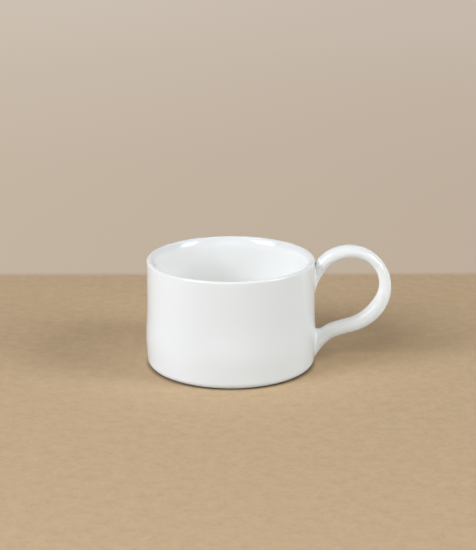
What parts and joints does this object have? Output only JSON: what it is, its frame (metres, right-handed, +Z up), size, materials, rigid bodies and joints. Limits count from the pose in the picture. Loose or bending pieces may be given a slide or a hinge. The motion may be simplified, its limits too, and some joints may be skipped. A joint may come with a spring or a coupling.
{
  "type": "espresso cup",
  "caption": "Low straight-walled espresso cup in glazed white porcelain, with a large round rod handle looped above the rim for one finger.",
  "frame": {"origin": "on the cup's axis, in the plane of the foot ring that it stands on", "axes": "+Z up along the cup's axis, +X from the axis towards the handle"},
  "size_m": [0.0961, 0.0668, 0.0477],
  "materials": {
    "porcelain": "clear gloss glaze over white porcelain"
  },
  "bodies": {
    "root": {"cup_body": "porcelain", "handle": "porcelain", "upper_joint": "porcelain", "lower_joint": "porcelain"}
  },
  "joints": []
}
